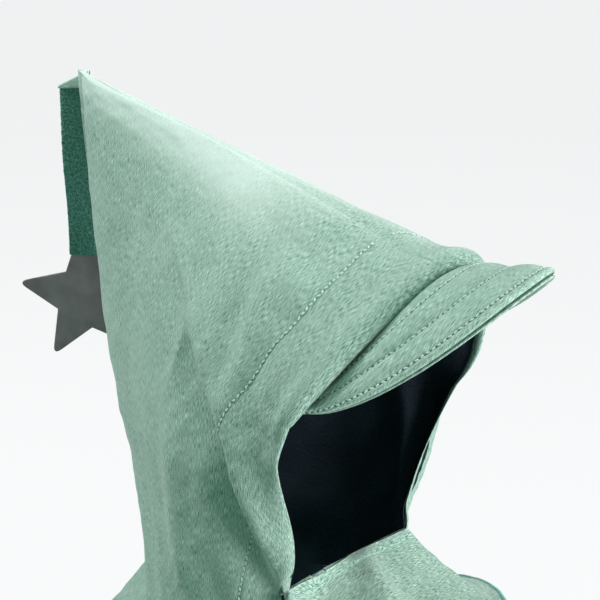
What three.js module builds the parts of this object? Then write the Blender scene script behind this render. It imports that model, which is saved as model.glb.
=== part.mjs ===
// Pointed rain hood of softshell. Two sewn side panels rise to a tail at the back, a dark
// lining shows inside, a padded peak stands out over the face, a round yoke covers the
// shoulders, and a strap falls from the point and ends in a reflective star.
//
// Millimetres. X is the wearer's left, -Y is forward and Z is up. The origin is where the
// crown of the wearer's head meets the inside of the hood.
import * as THREE from 'three';
import { mergeVertices } from 'three/addons/utils/BufferGeometryUtils.js';

// Cloth thicknesses, and the room that sewn pieces keep between them
const SHELL_WALL = 2.0;
const LINING_WALL = 1.0;
const SEAM_ROOM = 0.4;
const HALF_SEAM = 0.2;

// Each rib runs from the neck seam up to the ridge. At 0 it is the edge round the face,
// and at 1 the back seam. wideAt is the height of the widest place as a share of the rib,
// round is 1 for a sharp ridge and 2 for a round one, bow is how far the rib leans back,
// and hollow draws the lower part in.
const RIBS = table(
  ['at', 'footHalf', 'footY', 'footZ', 'wideHalf', 'wideAt', 'ridgeY', 'ridgeZ', 'round', 'bow', 'hollow'],
  [
    [0.00, 61, -47, -235, 96.5, 0.63, -107.5, -38.5, 1.80, 9.5, 2.4],
    [0.16, 70, -28, -260, 93.0, 0.56, -59.0, -24.0, 2.10, 6.0, 1.3],
    [0.34, 76, 5, -279, 89.0, 0.53, -5.0, -1.5, 1.90, 3.0, 1.0],
    [0.54, 75, 44, -290, 74.0, 0.45, 53.0, 18.5, 1.60, 2.0, 1.0],
    [0.74, 60, 77, -274, 50.0, 0.34, 112.0, 36.0, 1.35, 5.0, 1.0],
    [0.88, 34, 99, -267, 27.0, 0.30, 165.0, 49.0, 1.25, 12.0, 1.0],
    [1.00, 0, 121, -266, 0.0, 0.30, 192.0, 56.0, 1.10, 13.0, 1.0],
  ],
);

// The front of the hood and the peak sit a little askew, higher on the wearer's left
const ASKEW_RISE = 19;
const ASKEW_AT = 92;
const ASKEW_REACH = 0.5;

// The long fold from the crown to the throat: where its crest and the hollow behind it lie
// at each height, and how far they stand out or in
const DRAPE = table(
  ['at', 'crest', 'hollow', 'rise', 'depth'],
  [
    [0.00, 0.06, 0.17, 3.0, 5.0],
    [0.17, 0.10, 0.22, 5.0, 9.0],
    [0.38, 0.17, 0.29, 6.5, 10.0],
    [0.55, 0.27, 0.37, 5.0, 7.0],
    [0.66, 0.41, 0.48, 2.0, 3.0],
    [0.78, 0.50, 0.58, 0.0, 0.0],
    [1.00, 0.50, 0.58, 0.0, 0.0],
  ],
);
const CREST_WIDTH = 0.045;
const HOLLOW_WIDTH = 0.062;

// Softer folds and dents, straight from one place of the panel to another
const SOFT_FOLDS = table(
  ['fromAlong', 'fromUp', 'toAlong', 'toUp', 'height', 'width'],
  [
    [0.24, 0.78, 0.21, 0.64, 3.0, 0.035],
    [0.15, 0.64, 0.20, 0.90, -3.0, 0.050],
    [0.30, 0.80, 0.30, 0.62, -3.0, 0.050],
    [0.51, 0.44, 0.46, 0.08, 3.5, 0.055],
    [0.68, 0.50, 0.66, 0.10, -2.5, 0.060],
  ],
);
// The folds are as deep as this on each side
const FOLD_SHARE = { right: 1.0, left: 0.6 };

// Where the lining starts behind the face edge, in grid lines, and how much further in
// behind the peak
const LINING_START = 0.4;
const LINING_BEHIND_PEAK = 1.7;

// The padded roll of the face edge
const ROLL_RISE = 2.0;
const ROLL_WIDTH = 0.025;

// Peak: an arched crescent from the face edge to its rim
const PEAK_HALF = 86;
const PEAK_REAR = { y: -73, z: -108.5 };
const PEAK_FRONT = { y: -174, z: -37 };
const PEAK_BLUNT = 0.75;
const PEAK_SWEEP = 1.8;
const PEAK_LIFT = 2.1;
const PEAK_FIRST = 0.66;
const PEAK_TUCK = 0.028;
const PEAK_ROOM = 2.4;
const PEAK_COVER = 3.0;
const PEAK_UNDER = 2.4;
const PEAK_ROWS = [0, 0.34, 0.64, 0.93, 1];
const PEAK_PUFF = [0.5, 1.0, 2.0, 0];
const PEAK_DIP = 3.0;

// Yoke: from the neck seam and the throat neckline out to an oval hem
const NECKLINE_SHARE = 0.2;
const NECKLINE_BOW = -2;
const HEM = { half: 158, middleY: 30, deep: 170 };
const HEM_LINE = table(
  ['at', 'angle', 'hemZ', 'fall'],
  [
    [0.00, 0, -277, 2.4],
    [0.20, 36, -286, 2.2],
    [0.36, 64, -301, 1.8],
    [0.52, 92, -328, 1.7],
    [0.68, 118, -347, 1.6],
    [0.84, 148, -354, 1.5],
    [1.00, 180, -352, 1.4],
  ],
);
const YOKE_FOLDS = table(
  ['at', 'height', 'width'],
  [
    [-0.86, 5, 0.07],
    [-0.62, -4, 0.08],
    [-0.40, 5, 0.07],
    [-0.09, -6, 0.05],
    [0.01, 6, 0.035],
    [0.30, 4, 0.08],
    [0.66, -4, 0.08],
    [0.86, 4, 0.07],
  ],
);

// Strap of two layers, sewn in at the point, and the star whose top arm they hold
const STRAP_HALF = 11.2;
const STRAP_LAYER = 1.2;
const STRAP_LINE = table(
  ['at', 'x', 'y', 'z', 'turn', 'slant', 'spread'],
  [
    [0.00, 4.0, 199.5, 47.0, 24, 4.6, 0.4],
    [0.15, 4.5, 199.5, 31.0, 28, 1.5, 0.4],
    [0.50, 5.0, 199.0, -10.0, 38, 0.0, 0.4],
    [0.75, 5.8, 197.0, -42.0, 47, 0.0, 0.6],
    [0.85, 6.0, 196.6, -55.0, 47, 0.0, 2.6],
    [1.00, 6.0, 196.6, -75.5, 47, 0.0, 2.8],
  ],
);
const FLAP_DROP = 10;
const FLAP_LEAST = 0.6;
// The star's middle, the reach of its arms and notches, how far its blunt arm ends are cut
// back, and how it is turned about the vertical and tilted in its own plane
const STAR_AT = { x: 6.5, y: 196.05, z: -106.4 };
const STAR = { arm: 51, notch: 23.7, cut: 8, thick: 1.6, turn: 47, tilt: 4.4 };

// Reads rows of numbers under named columns
function table(columns, rows) {
  return rows.map((row) => Object.fromEntries(columns.map((name, i) => [name, row[i]])));
}

// Smooth curve through a table's rows, by its first column, for all other columns at once
function between(rows, at) {
  const last = rows.length - 2;
  let i = 0;
  while (i < last && at > rows[i + 1].at) i += 1;
  const step = rows[i + 1].at - rows[i].at;
  const t = (at - rows[i].at) / step;
  const found = {};
  for (const name of Object.keys(rows[0])) {
    const slope = slopeAt(rows, name, i);
    const next = slopeAt(rows, name, i + 1);
    const a = rows[i][name];
    const b = rows[i + 1][name];
    const bend = (t ** 3 - 2 * t * t + t) * step * slope + (t ** 3 - t * t) * step * next;
    found[name] = a + (b - a) * (3 * t * t - 2 * t ** 3) + bend;
  }
  return found;
}

// Slope of a column at row i: the parabola through it and its neighbours
function slopeAt(rows, name, i) {
  const rise = (k) => (rows[k + 1][name] - rows[k][name]) / (rows[k + 1].at - rows[k].at);
  if (i === 0) return 1.5 * rise(0) - 0.5 * slopeAt(rows, name, 1);
  if (i === rows.length - 1) return 1.5 * rise(i - 1) - 0.5 * slopeAt(rows, name, i - 1);
  const before = rows[i].at - rows[i - 1].at;
  const after = rows[i + 1].at - rows[i].at;
  return (before * rise(i) + after * rise(i - 1)) / (before + after);
}

const clamp01 = (value) => Math.min(1, Math.max(0, value));
const bump = (value) => Math.exp(-value * value);

// A point of the left half of the hood before its folds, at a share along from the face
// edge to the back seam and a share up from the neck seam to the ridge. inset moves it
// inwards: a sharp ridge and the sharp upper back seam move further.
function ribPoint(along, up, inset) {
  const rib = between(RIBS, along);
  const tall = (1 - rib.wideAt) * (rib.ridgeZ - rib.footZ);
  const sharp = clamp01(2 - rib.round);
  const steep = Math.min(3, Math.hypot(1, tall / Math.max(rib.wideHalf, 1)));
  const drop = inset * (1 + sharp * (steep - 1));
  const wide = Math.max(0, rib.wideHalf - inset);
  const foot = Math.max(0, rib.footHalf - inset);
  let half;
  let high;
  if (up < rib.wideAt) {
    half = foot + (wide - foot) * Math.sin((up / rib.wideAt) * Math.PI / 2) ** rib.hollow;
    high = up;
  } else {
    const turn = ((up - rib.wideAt) / (1 - rib.wideAt)) * Math.PI / 2;
    half = wide * Math.max(0, Math.cos(turn)) ** (2 / rib.round);
    high = rib.wideAt + (1 - rib.wideAt) * Math.sin(turn) ** (2 / rib.round);
  }
  const y = rib.footY + (rib.ridgeY - rib.footY) * high + rib.bow * Math.sin(Math.PI * high);
  const z = rib.footZ + (rib.ridgeZ - drop - rib.footZ) * high;
  const forward = inset * (1 + 2 * high) * along ** 4;
  return { high, point: new THREE.Vector3(half, y - forward, z) };
}

// How far the folds push the cloth out at a place of the panel
function foldHeight(along, up) {
  const drape = between(DRAPE, up);
  let height = drape.rise * bump((along - drape.crest) / CREST_WIDTH);
  height -= drape.depth * bump((along - drape.hollow) / HOLLOW_WIDTH);
  for (const fold of SOFT_FOLDS) {
    const line = { along: fold.toAlong - fold.fromAlong, up: fold.toUp - fold.fromUp };
    const span = line.along ** 2 + line.up ** 2;
    const share = ((along - fold.fromAlong) * line.along + (up - fold.fromUp) * line.up) / span;
    const held = clamp01(share);
    const offAlong = along - fold.fromAlong - held * line.along;
    const off = Math.hypot(offAlong, up - fold.fromUp - held * line.up);
    height += fold.height * bump(off / fold.width);
  }
  return height * clamp01((1 - along) / 0.12) * clamp01((1 - up) / 0.12);
}

// A point of the hood on one side, 1 for the left and -1 for the right
function hoodPoint(side, along, up, inset) {
  const { high, point } = ribPoint(along, up, inset);
  const step = 0.01;
  const ahead = ribPoint(Math.min(1, along + step), up, 0).point;
  const behind = ribPoint(Math.max(0, along - step), up, 0).point;
  const above = ribPoint(along, Math.min(1, up + step), 0).point;
  const below = ribPoint(along, Math.max(0, up - step), 0).point;
  const outward = ahead.sub(behind).cross(above.sub(below)).normalize();
  const share = side > 0 ? FOLD_SHARE.left : FOLD_SHARE.right;
  const roll = ROLL_RISE * bump(along / ROLL_WIDTH);
  point.addScaledVector(outward, foldHeight(along, up) * share + roll);
  point.x = Math.max(point.x, 0) * side;
  const front = clamp01(1 - along / ASKEW_REACH) ** 2;
  point.z += ASKEW_RISE * (point.x / ASKEW_AT) * front * clamp01((high - 0.62) / 0.38) ** 0.7;
  return point;
}

// Evenly spaced shares from a first to a last one, both included
function shares(first, last, count) {
  return Array.from({ length: count + 1 }, (_, i) => first + ((last - first) * i) / count);
}

const ALL_RIMS = { firstRow: true, lastRow: true, firstColumn: true, lastColumn: true };

// A closed solid between two like grids of points. rims names the grid edges that are
// open in the cloth and get a strip of faces: first and last row, first and last column.
function wallBetween(outer, inner, rims) {
  const rows = outer.length;
  const columns = outer[0].length;
  const corners = [...outer.flat(), ...inner.flat()];
  const faces = [];
  const at = (layer, i, j) => layer * rows * columns + i * columns + j;
  const quad = (a, b, c, d) => faces.push([a, b, c], [a, c, d]);
  for (let i = 0; i < rows - 1; i += 1) {
    for (let j = 0; j < columns - 1; j += 1) {
      quad(at(0, i, j), at(0, i + 1, j), at(0, i + 1, j + 1), at(0, i, j + 1));
      quad(at(1, i, j), at(1, i, j + 1), at(1, i + 1, j + 1), at(1, i + 1, j));
    }
  }
  for (let j = 0; j < columns - 1; j += 1) {
    if (rims.firstRow) quad(at(0, 0, j), at(0, 0, j + 1), at(1, 0, j + 1), at(1, 0, j));
    if (rims.lastRow) {
      const i = rows - 1;
      quad(at(0, i, j), at(1, i, j), at(1, i, j + 1), at(0, i, j + 1));
    }
  }
  for (let i = 0; i < rows - 1; i += 1) {
    if (rims.firstColumn) quad(at(0, i, 0), at(1, i, 0), at(1, i + 1, 0), at(0, i + 1, 0));
    if (rims.lastColumn) {
      const j = columns - 1;
      quad(at(0, i, j), at(0, i + 1, j), at(1, i + 1, j), at(1, i, j));
    }
  }
  return solidOf(corners, faces);
}

// A geometry from corners and faces, with equal corners made one and faces turned outwards
function solidOf(corners, faces) {
  const points = new THREE.BufferGeometry();
  const numbers = corners.flatMap((corner) => corner.toArray());
  points.setAttribute('position', new THREE.Float32BufferAttribute(numbers, 3));
  points.setIndex(faces.flat());
  const merged = mergeVertices(points, 1e-3);
  const place = merged.getAttribute('position');
  const index = Array.from(merged.getIndex().array);
  const kept = [];
  let volume = 0;
  for (let i = 0; i < index.length; i += 3) {
    const [a, b, c] = index.slice(i, i + 3);
    if (a === b || b === c || a === c) continue;
    const [p, q, r] = [a, b, c].map((k) => new THREE.Vector3().fromBufferAttribute(place, k));
    volume += p.dot(q.cross(r)) / 6;
    kept.push([a, b, c]);
  }
  merged.setIndex(kept.flatMap(([a, b, c]) => (volume > 0 ? [a, b, c] : [a, c, b])));
  return merged;
}

// Shares along the panel: closer together in the front, where the folds are
const PANEL_ALONG = shares(0, 1, 20).map((t) => 0.7 * t + 0.3 * t * t);
const PANEL_UP = shares(0, 1, 20);

// One side of the hood as a grid of points
function hoodGrid(side, inset) {
  return PANEL_ALONG.map((along) => PANEL_UP.map((up) => hoodPoint(side, along, up, inset)));
}

// One side panel, sewn to the other along the ridge and the back. The left one runs the
// other way, so that its faces are split along the same diagonals as the lining's.
function sidePanel(side) {
  const layer = (inset) => hoodGrid(side, inset).map((row, i) => row.map((point, j) => {
    const seam = i === PANEL_ALONG.length - 1 || j === PANEL_UP.length - 1;
    point.x = seam ? side * HALF_SEAM : side * Math.max(Math.abs(point.x), HALF_SEAM + 0.05);
    return point;
  }));
  const ordered = (grid) => grid.map((row) => (side > 0 ? row.reverse() : row));
  return wallBetween(ordered(layer(0)), ordered(layer(SHELL_WALL)), ALL_RIMS);
}

// The lining follows both panels inside and is one bag, open at the face and the neck. It
// starts close behind the face edge, and further in where the peak is sewn on, always at
// places of the panels' own grid lines.
function lining() {
  const last = PANEL_UP.length - 1;
  const layer = (inset) => {
    const sides = { left: hoodGrid(1, inset), right: hoodGrid(-1, inset) };
    return PANEL_ALONG.map((_, i) => shares(-last, last, 2 * last).map((across) => {
      const grid = across < 0 ? sides.right : sides.left;
      const j = last - Math.abs(across);
      const first = LINING_START + LINING_BEHIND_PEAK * clamp01((PANEL_UP[j] - PEAK_FIRST + 0.12) / 0.08);
      const line = Math.max(i, first + 0.02 * i);
      const before = Math.min(Math.floor(line), PANEL_ALONG.length - 2);
      const point = grid[before][j].clone().lerp(grid[before + 1][j], line - before);
      if (i === PANEL_ALONG.length - 1 || across === 0) point.x = 0;
      return point;
    }));
  };
  const first = SHELL_WALL + SEAM_ROOM;
  const rims = { firstRow: true, firstColumn: true, lastColumn: true };
  return wallBetween(layer(first), layer(first + LINING_WALL), rims);
}

// A point of the peak's middle surface. round goes from 0 at the right corner to 1 at the
// left one, and out from 0 at the face edge to 1 at the rim.
function peakPoint(round, out) {
  const angle = Math.PI * round;
  const side = round < 0.5 ? -1 : 1;
  const up = PEAK_FIRST + (1 - PEAK_FIRST) * (1 - Math.abs(1 - 2 * round));
  const root = hoodPoint(side, PEAK_TUCK, up, SHELL_WALL + PEAK_COVER + PEAK_ROOM);
  const sweep = Math.sin(angle);
  const x = side * PEAK_HALF * Math.abs(Math.cos(angle)) ** PEAK_BLUNT;
  const y = PEAK_REAR.y + (PEAK_FRONT.y - PEAK_REAR.y) * sweep ** PEAK_SWEEP;
  const z = PEAK_REAR.z + (PEAK_FRONT.z - PEAK_REAR.z) * sweep ** PEAK_LIFT;
  const rim = new THREE.Vector3(x, y, z + ASKEW_RISE * (x / ASKEW_AT) * sweep);
  return root.lerp(rim, out);
}

// The peak's outward direction at a place
function peakOutward(round, out) {
  const step = 0.01;
  const right = peakPoint(Math.max(0, round - step), out);
  const left = peakPoint(Math.min(1, round + step), out);
  const inner = peakPoint(round, Math.max(0, out - step));
  const outer = peakPoint(round, Math.min(1, out + step));
  return outer.sub(inner).cross(left.sub(right)).normalize();
}

// How far the cloth of a stitched channel of the peak stands proud
function peakPuff(out) {
  const i = PEAK_ROWS.findIndex((row, k) => k > 0 && out <= row) - 1;
  const share = (out - PEAK_ROWS[i]) / (PEAK_ROWS[i + 1] - PEAK_ROWS[i]);
  return PEAK_PUFF[i] * Math.sqrt(Math.sin(Math.PI * clamp01(share)));
}

// One cover of the peak between two heights over its middle surface, with the channels on
// its upper side or without
function peakCover(low, high, hasChannels) {
  const outs = PEAK_ROWS.flatMap((row, i) => (i > 0 ? [(PEAK_ROWS[i - 1] + row) / 2, row] : [row]));
  const layer = (height, isPuffed) => shares(0, 1, 30).map((round) => outs.map((out) => {
    const dip = PEAK_DIP * Math.sin(Math.PI * round) * Math.sin(Math.PI * out);
    const rise = height - dip + (isPuffed ? peakPuff(out) : 0);
    return peakPoint(round, out).addScaledVector(peakOutward(round, out), rise);
  }));
  return wallBetween(layer(high, hasChannels), layer(low, false), ALL_RIMS);
}

// A point of the yoke's upper side. turn goes from 0 at the throat to 1 at the nape, with
// a sign for the side, and out from 0 at the neck to 1 at the hem.
function yokePoint(turn, out) {
  const side = turn < 0 ? -1 : 1;
  const way = Math.abs(turn);
  let neck;
  if (way < NECKLINE_SHARE) {
    const share = way / NECKLINE_SHARE;
    neck = hoodPoint(side, 0, 0, 0);
    neck.x *= share;
    neck.y -= NECKLINE_BOW * (1 - share * share);
  } else {
    neck = hoodPoint(side, (way - NECKLINE_SHARE) / (1 - NECKLINE_SHARE), 0, 0);
  }
  neck.z -= 2 * SEAM_ROOM;
  const line = between(HEM_LINE, way);
  const angle = THREE.MathUtils.degToRad(line.angle);
  const hemX = side * HEM.half * Math.sin(angle);
  const hemY = HEM.middleY - HEM.deep * Math.cos(angle);
  const point = new THREE.Vector3(neck.x + (hemX - neck.x) * out, neck.y + (hemY - neck.y) * out, 0);
  point.z = neck.z + (line.hemZ - neck.z) * (1 - (1 - out) ** line.fall);
  let wave = 0;
  for (const fold of YOKE_FOLDS) wave += fold.height * bump((turn - fold.at) / fold.width);
  point.z += wave * Math.sin((out * Math.PI) / 2);
  return point;
}

// The shoulder yoke, one ring of cloth from the neck seam to the hem
function yoke() {
  const turns = shares(-1, 1, 48);
  const outs = [0, 0.1, 0.22, 0.36, 0.52, 0.68, 0.84, 1];
  const outer = turns.map((turn) => outs.map((out) => yokePoint(turn, out)));
  const inner = outer.map((column, i) => column.map((point, j) => {
    const before = outer[i === 0 ? turns.length - 2 : i - 1][j];
    const after = outer[i === turns.length - 1 ? 1 : i + 1][j];
    const nearer = column[Math.max(0, j - 1)];
    const further = column[Math.min(outs.length - 1, j + 1)];
    const outward = after.clone().sub(before).cross(further.clone().sub(nearer)).normalize();
    if (outward.z < 0) outward.negate();
    return point.clone().addScaledVector(outward, -SHELL_WALL);
  }));
  for (const grid of [outer, inner]) grid[turns.length - 1] = grid[0].map((point) => point.clone());
  return wallBetween(outer, inner, { firstColumn: true, lastColumn: true });
}

// One layer of the strap, 1 for the face on the far side and -1 for the fleece backing.
// The face ends in a flap that folds over the top to the near side.
function strapLayer(layerSide) {
  const across = shares(-1, 1, 4);
  const rows = shares(0, 1, 16).map((at) => between(STRAP_LINE, at));
  const place = (row, share, depth, drop = 0) => {
    const turn = THREE.MathUtils.degToRad(row.turn);
    const x = row.x + share * STRAP_HALF * Math.sin(turn) + depth * Math.cos(turn);
    const y = row.y - share * STRAP_HALF * Math.cos(turn) + depth * Math.sin(turn);
    return new THREE.Vector3(x, y, row.z + row.slant * share - drop);
  };
  const near = (row) => (layerSide * row.spread) / 2;
  const far = (row) => layerSide * (row.spread / 2 + STRAP_LAYER);
  const outer = rows.map((row) => across.map((share) => place(row, share, far(row))));
  const inner = rows.map((row) => across.map((share) => place(row, share, near(row))));
  if (layerSide > 0) {
    const top = rows[0];
    const front = -(STRAP_LAYER + top.spread / 2 + SEAM_ROOM);
    const length = (share) => FLAP_LEAST + (FLAP_DROP * (1 + share)) / 2;
    outer[0] = across.map((share) => place(top, share, far(top), -STRAP_LAYER - SEAM_ROOM));
    inner[0] = across.map((share) => place(top, share, near(top), -SEAM_ROOM));
    outer.unshift(
      across.map((share) => place(top, share, front - STRAP_LAYER, length(share))),
      across.map((share) => place(top, share, front - STRAP_LAYER, -STRAP_LAYER - SEAM_ROOM)),
    );
    inner.unshift(
      across.map((share) => place(top, share, front, length(share))),
      across.map((share) => place(top, share, front, -SEAM_ROOM)),
    );
  }
  return wallBetween(outer, inner, ALL_RIMS);
}

// Five-armed star with blunt arm ends, cut from a flat sheet and hung in the strap's plane
function star() {
  const outline = new THREE.Shape();
  const polar = (radius, degrees) => {
    const angle = THREE.MathUtils.degToRad(degrees);
    return new THREE.Vector2(radius * Math.cos(angle), radius * Math.sin(angle));
  };
  for (let arm = 0; arm < 5; arm += 1) {
    const middle = 90 + STAR.tilt + 72 * arm;
    const before = polar(STAR.notch, middle - 36);
    const tip = polar(STAR.arm, middle);
    const after = polar(STAR.notch, middle + 36);
    const start = tip.clone().sub(tip.clone().sub(before).setLength(STAR.cut));
    const end = tip.clone().sub(tip.clone().sub(after).setLength(STAR.cut));
    if (arm === 0) outline.moveTo(before.x, before.y);
    else outline.lineTo(before.x, before.y);
    outline.lineTo(start.x, start.y);
    outline.quadraticCurveTo(tip.x, tip.y, end.x, end.y);
  }
  outline.closePath();
  const sheet = { depth: STAR.thick, bevelEnabled: false, curveSegments: 6 };
  const plate = new THREE.ExtrudeGeometry(outline, sheet);
  plate.translate(0, 0, -STAR.thick / 2);
  plate.deleteAttribute('normal');
  plate.deleteAttribute('uv');
  plate.rotateX(Math.PI / 2);
  plate.rotateZ(-THREE.MathUtils.degToRad(90 - STAR.turn));
  plate.translate(STAR_AT.x, STAR_AT.y, STAR_AT.z);
  return mergeVertices(plate, 1e-3);
}

const softshell = { color: 0x9cc3b3, roughness: 0.85, metalness: 0 };
const darkLining = { color: 0x11161d, roughness: 0.95, metalness: 0 };
const fleece = { color: 0x2f7a62, roughness: 1, metalness: 0 };
const reflective = { color: 0x6a6c6b, roughness: 0.5, metalness: 0.1 };

function piece(name, geometry, finish) {
  const mesh = new THREE.Mesh(geometry, new THREE.MeshStandardMaterial(finish));
  mesh.name = name;
  return mesh;
}

const hood = new THREE.Group();
hood.add(
  piece('hood_panel_right', sidePanel(-1), softshell),
  piece('hood_panel_left', sidePanel(1), softshell),
  piece('hood_lining', lining(), darkLining),
  piece('peak_cover', peakCover(SEAM_ROOM / 2, PEAK_COVER, true), softshell),
  piece('peak_underside', peakCover(-PEAK_UNDER, -SEAM_ROOM / 2, false), softshell),
  piece('shoulder_yoke', yoke(), softshell),
  piece('strap_face', strapLayer(1), softshell),
  piece('strap_backing', strapLayer(-1), fleece),
  piece('star', star(), reflective),
);

export default hood;
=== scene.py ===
"""Pointed softshell rain hood with a stitched peak, a shoulder yoke and a star on a strap.

The pieces follow in the order in which the hood is sewn together. Sizes are in
millimetres: X is the wearer's left, -Y is forward and Z is up.
"""
import math

import bpy
import numpy as np
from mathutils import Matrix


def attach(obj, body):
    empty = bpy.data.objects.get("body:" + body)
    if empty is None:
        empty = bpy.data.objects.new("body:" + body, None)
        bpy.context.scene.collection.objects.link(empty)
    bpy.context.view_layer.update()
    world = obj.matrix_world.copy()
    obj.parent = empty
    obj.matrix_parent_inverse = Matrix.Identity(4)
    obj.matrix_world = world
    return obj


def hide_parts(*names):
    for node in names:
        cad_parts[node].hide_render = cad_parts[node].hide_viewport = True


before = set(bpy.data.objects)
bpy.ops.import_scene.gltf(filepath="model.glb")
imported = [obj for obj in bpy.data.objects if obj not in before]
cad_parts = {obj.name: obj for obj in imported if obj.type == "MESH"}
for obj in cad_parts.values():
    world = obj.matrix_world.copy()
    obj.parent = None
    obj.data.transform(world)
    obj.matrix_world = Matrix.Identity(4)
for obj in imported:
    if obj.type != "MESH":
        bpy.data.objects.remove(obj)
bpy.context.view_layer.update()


# Side panels of the hood
# Two like panels of melange softshell, cut as one long curve from the face edge to the
# point and sewn together along the ridge and the back. The face edge is turned in over a
# narrow wadding, which makes it a soft roll, and the facing behind it is topstitched.
MM = 0.001


def table(columns, rows):
    """Columns of numbers by name, from rows under named columns."""
    return dict(zip(columns.split(), np.array(rows, float).T))


def curve_through(rows, at):
    """Cubic Hermite curve through a table's rows by its column "at", for each column.

    The slope at a row is that of the parabola through it and its two neighbours.
    """
    stops = rows["at"]
    gaps = np.diff(stops)
    i = np.clip(np.searchsorted(stops, at, side="right") - 1, 0, len(gaps) - 1)
    t = (at - stops[i]) / gaps[i]
    found = {}
    for name, column in rows.items():
        rise = np.diff(column) / gaps
        inner = (gaps[:-1] * rise[1:] + gaps[1:] * rise[:-1]) / (gaps[:-1] + gaps[1:])
        slope = np.concatenate([[1.5 * rise[0] - 0.5 * inner[0]], inner,
                                [1.5 * rise[-1] - 0.5 * inner[-1]]])
        bend = (t**3 - 2 * t**2 + t) * slope[i] + (t**3 - t**2) * slope[i + 1]
        found[name] = column[i] + np.diff(column)[i] * (3 * t**2 - 2 * t**3) + bend * gaps[i]
    return found


# Ribs of the right and left half alike, from the face edge to the point: half width, place
# and height at the foot, half width and share of the height where it is widest, place and
# height at the ridge, and how round its top, bowed its middle and hollow its foot are
RIBS = table("at foot_half foot_y foot_z wide_half wide_at ridge_y ridge_z round bow hollow", [
    [0.00, 61, -47, -235, 96.5, 0.63, -107.5, -38.5, 1.80, 9.5, 2.4],
    [0.16, 70, -28, -260, 93.0, 0.56, -59.0, -19.5, 2.10, 6.0, 1.3],
    [0.34, 76, 5, -279, 89.0, 0.53, -5.0, -1.5, 1.90, 3.0, 1.0],
    [0.54, 75, 44, -290, 74.0, 0.45, 53.0, 15.5, 1.60, 2.0, 1.0],
    [0.74, 60, 77, -274, 50.0, 0.34, 112.0, 30.0, 1.35, 5.0, 1.0],
    [0.88, 34, 99, -267, 27.0, 0.30, 165.0, 44.5, 1.25, 12.0, 1.0],
    [1.00, 0, 121, -266, 0.0, 0.30, 192.0, 56.0, 1.10, 13.0, 1.0],
])
INSET_STEEPEST = 3
# The brow is tipped to the wearer's right
ASKEW_RISE = 19
ASKEW_AT = 92
ASKEW_REACH = 0.5
ASKEW_FROM = 0.62
ASKEW_EASE = 0.7
# The long fold's sharp crest from the crown down to the throat, with its rise and the depth
# of the hollow behind it
CREST_POINTS = 25
DRAPE = curve_through(table("at along up rise depth", [
    [0, 0.440, 0.670, 0.0, 4.0],
    [1, 0.396, 0.650, 2.5, 10.5],
    [2, 0.310, 0.610, 6.5, 14.0],
    [3, 0.188, 0.522, 10.5, 15.0],
    [4, 0.126, 0.385, 12.0, 15.0],
    [5, 0.092, 0.235, 11.0, 12.0],
    [6, 0.062, 0.130, 7.0, 7.0],
    [7, 0.037, 0.050, 3.0, 3.0],
]), np.linspace(0, 7, CREST_POINTS))
# Reaches of the crest and of the hollow to their front and back, in millimetres of cloth
CREST_FRONT = 23.0
CREST_BACK = 6.0
HOLLOW_OFF = 14.0
HOLLOW_FRONT = 9.6
HOLLOW_BACK = 22.8
FLANK_SHIFT = 0.6
FOLD_FADE = 0.12
# The softer crests and dents, along short lines
SOFT_FOLDS = table("from_along from_up to_along to_up height width", [
    [0.235, 0.780, 0.200, 0.640, 3.2, 0.030],
    [0.155, 0.740, 0.160, 0.640, -2.6, 0.035],
    [0.290, 0.830, 0.255, 0.640, -4.2, 0.052],
    [0.140, 0.900, 0.300, 0.900, -5.0, 0.075],
    [0.215, 0.830, 0.150, 0.800, 1.6, 0.025],
    [0.450, 0.410, 0.420, 0.200, 4.0, 0.060],
    [0.560, 0.540, 0.560, 0.250, -2.5, 0.070],
    [0.300, 0.130, 0.260, 0.020, -3.5, 0.050],
    [0.700, 0.400, 0.640, 0.050, -2.0, 0.070],
])
# The face edge is pushed out beside the wearer's right cheek and drawn in at the left one
CHEEK_RIGHT = 6.0
CHEEK_LEFT = -4.5
CHEEK_FROM = 0.10
CHEEK_TO = 0.48
CHEEK_REACH = 0.055
# Millimetres of cloth for a whole share along or up a panel, and near its two seams
PANEL_SPAN = 300
RIDGE_SPAN = 150
BACK_SPAN = 260
LEFT_FOLD_SHARE = 0.6
# The roll of the face edge, and the cloth's swelling beside the ridge and the back seam
ROLL_RISE = 5.0
ROLL_WIDTH = 0.027
ROLL_AT = 0.015
ROLL_FROM = 0.48
ROLL_FULL = 0.78
RIDGE_PUFF = 0.8
BACK_PUFF = 4.5
PUFF_REACH = 0.13
RIDGE_PUFF_ALONG = (0.175, 0.675)
BACK_PUFF_UP = (0.25, 0.75)
BACK_SEAM = 0.985
BACK_CLOSING = 0.02
# Where the facing's stitching runs, by share of the height
FACING_LINE = table("at along", [
    [0.00, 0.235], [0.09, 0.21], [0.28, 0.145], [0.40, 0.17], [0.54, 0.212],
    [0.62, 0.168], [0.70, 0.148], [0.76, 0.126], [0.88, 0.120], [1.00, 0.122],
])
FACING_GROOVE = 0.0075
FACING_SINK = 0.7
FACING_ROWS = 0.28
SEAM_SINK = 1.3
SEAM_REACH = 2.6
SEAM_HALF_WIDTH = (5, 30)
# Each layer of ripples has a length in millimetres, a seed and a height
PANEL_RIPPLES = ((34, 5, 0.35), (15, 6, 0.175))
CALM_EDGE = 0.06
CALM_RIDGE = 0.1


def bump(off):
    """A smooth rise at 0 that is gone at about 2 to either side: exp(-off^2)."""
    return np.exp(-off**2)


def swelling(off):
    """Cloth swelling up at a distance off a seam, highest at 1: off exp(1 - off)."""
    return off * np.exp(1 - off)


def between(value, start, end):
    """How far a value has got from start to end, held between 0 and 1.

    share = (value - start) / (end - start)
    """
    return np.clip((value - start) / (end - start), 0, 1)


def unit(vectors):
    """Vectors divided by their own lengths."""
    return vectors / np.maximum(np.linalg.norm(vectors, axis=-1, keepdims=True), 1e-9)


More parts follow.
